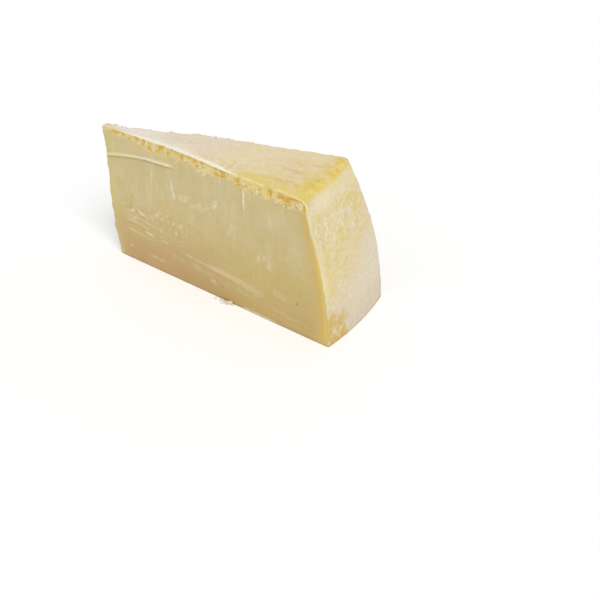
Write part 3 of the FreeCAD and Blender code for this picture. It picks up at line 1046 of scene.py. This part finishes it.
def noise(paint, size, detail=3, stretch=(1, 1, 1)):
    """Noise from 0 to 1 with swells of a size in millimetres."""
    place = paint.node("ShaderNodeTexCoord", {}, {}, "Object")
    scaled = paint.node("ShaderNodeVectorMath", {"operation": "MULTIPLY"}, {0: place, 1: stretch})
    plugs = {"Vector": scaled, "Scale": 1 / (size * MM), "Detail": detail, "Roughness": 0.55}
    return paint.node("ShaderNodeTexNoise", {}, plugs)


def blotches(paint, size, detail, low, high, stretch=(1, 1, 1)):
    """Soft-edged blotches of noise, larger the lower the two levels are."""
    return step(noise(paint, size, detail, stretch), low, high)


def mask(paint, name):
    """A mask kept in the mesh."""
    return paint.node("ShaderNodeAttribute", {"attribute_name": name}, {}, "Fac")


def principled(paint, colour, roughness, height, relief):
    """The shader of all cheese: a little light passes into it."""
    bump = paint.node("ShaderNodeBump", {}, {"Distance": relief * MM, "Height": height})
    plugs = {
        "Base Color": colour,
        "Roughness": roughness,
        "Normal": bump,
        "Subsurface Weight": 0.2,
        "Subsurface Scale": 0.0025,
        "Subsurface Radius": (1, 0.62, 0.3),
        "Specular IOR Level": 0.35,
    }
    way = {"subsurface_method": "RANDOM_WALK"}
    surface = paint.node("ShaderNodeBsdfPrincipled", way, plugs, "BSDF")
    paint.node("ShaderNodeOutputMaterial", {}, {"Surface": surface})


def new_finish(name):
    """A new empty material, and the wire that makes its nodes."""
    made = bpy.data.materials.new(name)
    made.use_nodes = True
    made.node_tree.nodes.clear()
    return made, Wire(made.node_tree)


print("a screen grey of 128 is", round(tint(128, 128, 128)[0], 3), "to a shader")

# %% [markdown]
# ## The paste of the cut faces
# Freshly cut paste is straw-coloured and a little waxy. Towards the base it is painted darker
# and browner, and low towards the rind yellower: painted shade near the base and the orange
# light that a wooden board threw up. The strip at the broken point is painted greener, as light
# shining through the thin point, and beside the rind it goes darker and then bright yellow,
# with a painted highlight along the rounded corner. The knife's smears and streaks are white
# with fat; the smear's crest is partly a painted highlight with painted shade under it, and
# the pits get painted shade.
#
# The colours are written as they look in plain light. The cut faces stand upright, and so get
# less light than the top. Their colours are lifted by that share, so that they keep their
# look beside the top without stronger lamps.

# %% Colours of the paste
LIFT = 1.05
PASTE = tint(205, 188, 136, LIFT)
PASTE_WAXY = tint(208, 194, 149, LIFT)
PASTE_TAN = tint(204, 179, 118, LIFT)
# Painted shade and orange board light, laid on towards the base.
PASTE_FOOT_SHADE = tint(184, 150, 98, LIFT)
PASTE_YELLOW = tint(203, 186, 104, LIFT)
PASTE_PINK = tint(196, 160, 116, LIFT)
# Painted light shining through the thin broken point.
PASTE_SHINE_THROUGH = tint(208, 193, 122, LIFT)
PASTE_BROWN = tint(186, 154, 94, LIFT)
PASTE_CRUMBLY = tint(201, 168, 98, LIFT)
BESIDE_RIND = tint(212, 179, 98, LIFT)
# A painted highlight along the rounded corner with the rind.
EDGE_HIGHLIGHT = tint(228, 218, 178, LIFT)
EDGE_GOLD = tint(214, 187, 92, LIFT)
FAT_WHITE_AND_HIGHLIGHT = tint(226, 217, 186, LIFT)
# Painted shade in the pits.
PIT_SHADE = tint(140, 108, 66)
# Painted shade under the smear's ridge.
SMEAR_PAINTED_SHADE = tint(203, 176, 104, LIFT)
GOLD_PIT = tint(214, 177, 80, LIFT)
ORANGE_PIT = tint(212, 169, 79, LIFT)
SEAM_TAN = tint(219, 199, 138, LIFT)
SEAM_BUTTER = tint(223, 203, 134, LIFT)
SEAM_ORANGE = tint(219, 189, 118, LIFT)
GOLD_GRAIN = tint(221, 195, 118, LIFT)
CREAM_GRAIN = tint(229, 213, 168, LIFT)
LIP = tint(236, 230, 210, LIFT)
LIP_YELLOW = tint(228, 214, 152, LIFT)
print("the paste as a shader's colour:", [round(value, 3) for value in PASTE[:3]])

# %% [markdown]
# The colours are laid one over another, as a painter glazes. Wide soft patches come first,
# then what belongs to a height or a place, then the strip beside the rind, and last the
# broken point. Over that lie the fat, and the torn seam with its gold pockets.

# %% Lay the paste's colours
DRAWN_DOWN = (1, 1, 0.2)


def paste_colour(paint):
    """The smooth cut's colour."""
    height = mask(paint, "height")
    radius = mask(paint, "radius")
    cloud = noise(paint, 24, 3)
    level = height + 14 * (cloud - 0.5)
    waxy = blotches(paint, 13, 4, 0.42, 0.66) * step(height, 34, 62)
    tan = blotches(paint, 8, 5, 0.42, 0.68) * (0.25 + 0.75 * step(height, 70, 48))
    near_point = step(radius + 30 * (cloud - 0.5), 120, 70)
    pink = near_point * step(level, 34, 20) * blotches(paint, 9, 4, 0.36, 0.62)
    # Low down towards the rind the paste is painted yellower, as painted light from a wooden board.
    straw = step(radius, 110, 160) * step(level, 52, 30)
    straw = straw * (1 - 0.35 * step(level, 22, 8))
    drawn = blotches(paint, 4.4, 4, 0.48, 0.74, DRAWN_DOWN) * step(height, 26, 52)
    crumbly = band(radius, 36, 46, 90, 122) * band(height, 24, 34, 41, 52)
    grain = blotches(paint, 1.5, 4, 0.5, 0.78) * (0.15 + 0.35 * step(height, 52, 36))
    from_rind = mask(paint, "edge") + 1.6 * (noise(paint, 6) - 0.5)
    high = step(height, 52, 76)
    # The point's faces and the strip beside them take painted light shining through the point.
    point = mask(paint, "tip") * (0.1 + 0.5 * blotches(paint, 7, 5, 0.36, 0.64))
    return lay(
        PASTE,
        (waxy * 0.8, PASTE_WAXY),
        (tan * 0.7, PASTE_TAN),
        # Painted shade and orange board light towards the base.
        (step(level, 54, -12), PASTE_FOOT_SHADE),
        (pink * 0.6, PASTE_PINK),
        (straw * 0.34, PASTE_YELLOW),
        (drawn * (0.05 + 0.22 * step(cloud, 0.4, 0.6)), FAT_WHITE_AND_HIGHLIGHT),
        (crumbly * blotches(paint, 3, 4, 0.48, 0.62) * 0.6, PASTE_CRUMBLY),
        (crumbly * blotches(paint, 2.3, 4, 0.53, 0.66) * 0.5, FAT_WHITE_AND_HIGHLIGHT),
        (grain, PASTE_BROWN),
        (step(from_rind, 15, 6) * 0.5, PASTE_TAN),
        (step(from_rind, 9.5, 4) * 0.75, BESIDE_RIND),
        (step(from_rind, 5, 2) * (0.8 - 0.8 * high), EDGE_GOLD),
        # Painted highlight along the corner with the rind, stronger higher up.
        (step(from_rind, 3, 1.2) * (0.15 + 0.75 * high), EDGE_HIGHLIGHT),
        (point + step(radius, 50, 34) * 0.35, PASTE_SHINE_THROUGH),
    )


def add_fat(paint, colour):
    """White smears, streaks and strokes over a colour, bare paste beside the streaks, a painted
    highlight on the smear's crest with painted shade under it, and painted shade in the pits.
    """
    flecked = blotches(paint, 1.3, 4, 0.3, 0.55)
    soft = 0.5 * step(mask(paint, "radius"), 230, 100)
    drag = mask(paint, "drag")
    smear = mask(paint, "smear")
    fat_and_pit_shade = mask(paint, "fat_and_pit_shade")
    return lay(
        colour,
        (step(drag, -0.1, -0.8) * 0.5, PASTE_YELLOW),
        (step(drag, 0.05, 0.9) * soft, FAT_WHITE_AND_HIGHLIGHT),
        # Painted shade under the smear, and its crest whitened, partly fat and partly a painted
        # highlight.
        (step(smear, -0.1, -0.7) * 0.7, SMEAR_PAINTED_SHADE),
        (step(smear, 0.05, 0.8) * (0.5 + 0.3 * flecked), FAT_WHITE_AND_HIGHLIGHT),
        # Painted shade in the pits.
        (step(fat_and_pit_shade, -0.2, -0.9), PIT_SHADE),
        (step(fat_and_pit_shade, 0, 1) * flecked, FAT_WHITE_AND_HIGHLIGHT),
    )


def add_seam(paint, colour):
    """The torn seam over a colour: gold in its pockets, turning orange, cream on its lumps, and gold
    as painted shade under the lip.
    """
    radius = mask(paint, "radius")
    buttery = band(radius, 137, 146, 172, 182)
    ruddy = step(radius, 126, 133) - 0.7 * buttery
    ripe_and_shade = mask(paint, "ripe_and_shade") + 0.7 * (noise(paint, 1.3, 4) - 0.5)
    grainy = blotches(paint, 1.5, 4, 0.5, 0.66) * (0.25 + 0.5 * step(radius, 90, 140))
    torn = lay(
        SEAM_TAN,
        (step(radius, 176, 186), SEAM_ORANGE),
        (buttery, SEAM_BUTTER),
        (grainy * 0.8, CREAM_GRAIN),
        (step(ripe_and_shade, 0.1, 1) * 0.9, CREAM_GRAIN),
        (step(ripe_and_shade, 0, -0.8), blend(ruddy, GOLD_PIT, ORANGE_PIT)),
    )
    return blend(mask(paint, "torn"), colour, torn)


print("noise is drawn out down the cuts by:", DRAWN_DOWN)

# %% [markdown]
# ## The crust
# The side and the top are the same dry skin, but they aged differently. The side is cream
# with fine level lines from the cloth and a dusting of white. The top is pinker and paler at
# the point. Where they meet, over the shoulder, hands and brushes have worn the skin to an
# oily yellow.

# %% Colours of the side and the top
# The rind beside the front cut is lifted more than the cuts, as painted light.
EDGE_LIGHT_LIFT = 1.08
RIND = tint(219, 202, 150)
RIND_YELLOW = tint(219, 196, 124)
RIND_WHITE = tint(226, 216, 200)
RIND_PALE = tint(230, 218, 184)
RIND_GOLD = tint(207, 174, 82)
RIND_FOOT = tint(200, 184, 146)
RIND_EDGE = tint(229, 216, 170, EDGE_LIGHT_LIFT)
TOP = tint(228, 211, 170)
TOP_PALE = tint(234, 226, 213)
TOP_PEACH = tint(225, 205, 172)
TOP_ROSE = tint(226, 209, 188)
TOP_STRAW = tint(223, 200, 138)
TOP_POINT = tint(216, 202, 154)
TOP_YELLOW = tint(222, 197, 104)
TOP_BUTTER = tint(227, 210, 142)
TOP_BROWN = tint(212, 178, 124)
RIDGE_YELLOW = tint(217, 188, 80)
print("the rind as a shader's colour:", [round(value, 3) for value in RIND[:3]])

# %% [markdown]
# They are laid in the same way. On the side the cloth's level lines come first, then the
# dusting of white in two scuffed bands and towards the rear, and the gold patch at the foot.
# Beside the front cut the skin is paler, its colour lifted more than the cuts' as painted light.
# On the top come the wide pale and rosy parts, the worn border, and a rosy brown patch inside
# the far corner.

# %% Lay the colours of the side and the top
LEVEL_LINES = (0.2, 0.2, 1)
LOW_FLECKS = (1, 1, 0.6)
LONG_STREAKS = (0.6, 1, 1)


def rind_colour(paint):
    """The side's colour."""
    height = mask(paint, "height")
    turn = mask(paint, "turn")
    cloud = noise(paint, 12, 4)
    lines = noise(paint, 1.5, 3, LEVEL_LINES)
    flecks = blotches(paint, 2.4, 5, 0.51, 0.65, LOW_FLECKS)
    scuffed = band(height, 56, 62, 72, 78) + band(height, 17, 22, 32, 38)
    upper = step(height, 75, 83) * (0.5 + 0.3 * step(turn + cloud - 0.5, 0.6, 0.2))
    paler = step(turn * 40 - height + 30 * (cloud - 0.5), -40, 8)
    drift = noise(paint, 7, 4) - 0.5
    foot = step(height + 26 * drift, 22, 14) * step(turn + 0.5 * drift, 0.36, 0.2)
    rubbed_foot = blotches(paint, 3.4, 5, 0.46, 0.64) * step(height, 15, 8)
    # Paler rind beside the front cut, its colour lifted as painted light.
    beside_cut = step(turn, 0.16, 0) * step(height, 26, 44)
    return lay(
        RIND,
        (step(cloud, 0.42, 0.62), RIND_YELLOW),
        (step(lines, 0.5, 0.66) * 0.4, RIND_WHITE),
        (step(lines, 0.46, 0.34) * 0.32, RIND_GOLD),
        (blotches(paint, 1.6, 4, 0.5, 0.68) * 0.4, RIND_WHITE),
        (flecks * (0.15 + 0.7 * scuffed), RIND_WHITE),
        (upper * step(height, 93, 86), RIND_PALE),
        (paler * 0.82, RIND_WHITE),
        (blotches(paint, 1.9, 5, 0.54, 0.64) * paler * 0.6, RIND_YELLOW),
        (step(height, 30, -12) * 0.75, RIND_FOOT),
        (foot * 0.85, RIND_GOLD),
        (rubbed_foot * 0.75, RIND_WHITE),
        (beside_cut * 0.75, RIND_EDGE),
    )


def top_colour(paint):
    """The top's colour."""
    radius = mask(paint, "radius")
    turn = mask(paint, "turn")
    pale = step(radius + 50 * turn + 36 * (noise(paint, 16) - 0.5), 132, 88)
    middle = band(radius, 66, 80, 112, 128) * step(turn, 0.2, 0.4)
    straw = step(radius - 40 * turn + 20 * (noise(paint, 9, 4) - 0.5), 108, 158)
    spotted = band(radius, 112, 122, 138, 146) * step(turn, 0.4, 0.12)
    blots = blotches(paint, 3.2, 4, 0.48, 0.6) * (0.1 + 0.5 * spotted)
    grainy = blotches(paint, 2.2, 5, 0.36, 0.6) * (0.55 + 0.4 * step(radius, 166, 180))
    patch = band(radius, 160, 170, 184, 193) * band(turn, 0.05, 0.2, 0.6, 0.82)
    return lay(
        TOP,
        (blotches(paint, 10, 4, 0.42, 0.62) * 0.6, TOP_PEACH),
        (pale * 0.85, TOP_PALE),
        (middle * 0.8, TOP_ROSE),
        (straw * 0.5, TOP_STRAW),
        (blotches(paint, 3.4, 5, 0.5, 0.62) * 0.35, TOP_PALE),
        (blots, TOP_BROWN),
        (mask(paint, "worn") * 0.95, blend(grainy, TOP_YELLOW, TOP_BUTTER)),
        (patch * 0.5, TOP_STRAW),
        (patch * blotches(paint, 5, 5, 0.48, 0.62, LONG_STREAKS) * 0.6, TOP_BROWN),
        (patch * blotches(paint, 3.4, 5, 0.5, 0.6, LONG_STREAKS) * 0.7, TOP_ROSE),
        (step(radius, 40, 31) * 0.8, TOP_POINT),
    )


print("noise is drawn out along the cloth's lines by:", LEVEL_LINES)

# %% [markdown]
# ## One finish for the block
# The masks say where each of those colours shows: the paste with its fat and its seam, over it
# the side and the top, then the worn yellow shoulder and the pale lip. A material for each
# face would be simpler to read, but they would meet in hard lines. The dry skin is rougher
# than the paste, and gets a grain that is too fine to shape.

# %% Put the finish on the block
finish, paint = new_finish("cheese")
colour = add_seam(paint, add_fat(paint, paste_colour(paint)))
colour = blend(mask(paint, "rind"), colour, rind_colour(paint))
colour = blend(mask(paint, "top"), colour, top_colour(paint))
ridge = mask(paint, "ridge") * (1 - mask(paint, "cut"))
ragged = blotches(paint, 3.6, 5, 0.34, 0.64)
colour = blend(ridge * (0.2 + 0.9 * ragged), colour, RIDGE_YELLOW)
lip = blend(step(mask(paint, "radius"), 138, 150), LIP, LIP_YELLOW)
lip = blend(step(mask(paint, "radius"), 62, 36) * 0.8, lip, TOP_POINT)
frayed = 0.6 + 0.6 * noise(paint, 2.4, 4)
colour = blend(mask(paint, "lip") * (1 - mask(paint, "rind")) * frayed, colour, lip)
dry = mask(paint, "rind") + mask(paint, "top")
fine = noise(paint, 0.9, 4)
cloth = noise(paint, 0.8, 2, LEVEL_LINES)
relief = fine * (0.25 + 0.75 * dry) + cloth * mask(paint, "rind")
roughness = 0.46 + 0.2 * dry + 0.2 * mask(paint, "torn")
principled(paint, colour, roughness, relief, 0.35)
block.data.materials.append(finish)
print("nodes in the finish:", len(finish.node_tree.nodes))

# %% [markdown]
# The crumbs are too small for such detail. Two colours are enough, mixed by the shade that
# each crumb carries.

# %% Put a finish on the crumbs
def finish_crumbs(piece, name, dark, light, roughness):
    """Gives each crumb of a piece its own shade between two colours."""
    made, paint = new_finish(name)
    mottle = mask(paint, "shade") + 0.5 * (noise(paint, 0.8) - 0.5)
    colour = blend(step(mottle, 0, 0.9), dark, light)
    principled(paint, colour, roughness, noise(paint, 0.4), 0.2)
    piece.data.materials.append(made)
    print(name, "has", len(made.node_tree.nodes), "nodes")


finish_crumbs(seam_crumbs, "crumb", GOLD_GRAIN, CREAM_GRAIN, 0.6)
finish_crumbs(crust_crumbs, "crust_crumb", TOP_PEACH, TOP_PALE, 0.7)

# %% [markdown]
# ## Floor, light and camera
# The cheese stands on a plain pale floor under soft studio light. Most of the light comes
# evenly from the world. One broad sun from above and to the right of the camera gives the
# top and the rind their brightness over the front cut, with a soft edge to the shadow. The
# white backdrop is there only for the camera, mirrors and glass, and lights nothing else.

# %% Floor
WHITE = (1, 1, 1, 1)
FLOOR_HALF = 6


def ray(paint, kind):
    """1 for one kind of light ray, such as the camera's own, and 0 for all others."""
    return paint.node("ShaderNodeLightPath", {}, {}, f"Is {kind} Ray")


around = ((-1, -1), (1, -1), (1, 1), (-1, 1))
corners = [(x * FLOOR_HALF, y * FLOOR_HALF, 0) for x, y in around]
floor_mesh = bpy.data.meshes.new("floor")
floor_mesh.from_pydata(corners, [], [(0, 1, 2, 3)])
floor = bpy.data.objects.new("floor", floor_mesh)
bpy.context.collection.objects.link(floor)
floor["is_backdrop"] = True

pale, paint = new_finish("pale floor")
plain = {"Base Color": (0.8, 0.8, 0.8, 1), "Roughness": 0.9}
glow = {"Emission Color": WHITE, "Emission Strength": 0.2}
lit = paint.node("ShaderNodeBsdfPrincipled", {}, plain, "BSDF")
seen = paint.node("ShaderNodeBsdfPrincipled", {}, plain | glow, "BSDF")
mixed = paint.node("ShaderNodeMixShader", {}, {0: ray(paint, "Camera"), 1: lit, 2: seen}, "Shader")
paint.node("ShaderNodeOutputMaterial", {}, {"Surface": mixed})
floor_mesh.materials.append(pale)
print("the floor's sides are", 2 * FLOOR_HALF, "m long")

# %% Light
WORLD_STRENGTH = 0.55
SUN_STRENGTH = 1.9
SUN_SPREAD = math.radians(35)
SUN_WAY = Vector((0.295, -0.29, 0.45))

world = bpy.data.worlds.new("studio")
world.use_nodes = True
world.node_tree.nodes.clear()
paint = Wire(world.node_tree)
even = {"Color": WHITE, "Strength": WORLD_STRENGTH}
soft = paint.node("ShaderNodeBackground", {}, even, "Background")
backdrop = paint.node("ShaderNodeBackground", {}, {"Color": WHITE, "Strength": 1}, "Background")
shown = ray(paint, "Camera") + ray(paint, "Glossy") + ray(paint, "Transmission")
mixed = paint.node("ShaderNodeMixShader", {}, {0: shown, 1: soft, 2: backdrop}, "Shader")
paint.node("ShaderNodeOutputWorld", {}, {"Surface": mixed})
bpy.context.scene.world = world
sun = bpy.data.lights.new("sun", "SUN")
sun.energy = SUN_STRENGTH
sun.angle = SUN_SPREAD
sun_lamp = bpy.data.objects.new("sun", sun)
sun_lamp.rotation_euler = SUN_WAY.to_track_quat("Z", "Y").to_euler()
bpy.context.collection.objects.link(sun_lamp)
print("the sun stands", round(math.degrees(math.asin(SUN_WAY.normalized().z))), "degrees high")

# %% Camera
AZIMUTH = math.radians(30.32)
ELEVATION = math.radians(31.70)
DISTANCE = 0.7125
TARGET = Vector((0.04987, 0.00259, 0))
LENS = 65.77
SENSOR_WIDTH = 36

flat = math.cos(ELEVATION)
back = Vector((flat * math.sin(AZIMUTH), -flat * math.cos(AZIMUTH), math.sin(ELEVATION)))
lens = bpy.data.cameras.new("camera")
lens.lens = LENS
lens.sensor_width = SENSOR_WIDTH
camera = bpy.data.objects.new("camera", lens)
camera.location = TARGET + back * DISTANCE
camera.rotation_euler = back.to_track_quat("Z", "Y").to_euler()
bpy.context.collection.objects.link(camera)
bpy.context.scene.camera = camera
bpy.context.scene.view_settings.view_transform = "Standard"
print("the camera stands", round(DISTANCE * 1000), "mm from the middle of its view")

# %% [markdown]
# The finer skin is meant to stay as large as the CAD model. The sizes of both boxes are printed.

# %% Print the sizes of both boxes
visual_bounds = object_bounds()
boxes = {"cad": cad_bounds, "visual": visual_bounds}
boxes = {name: [list(corner) for corner in pair] for name, pair in boxes.items()}
for name, (low, high) in boxes.items():
    print(name, "box, mm:", [round((end - start) / MM, 1) for start, end in zip(low, high)])
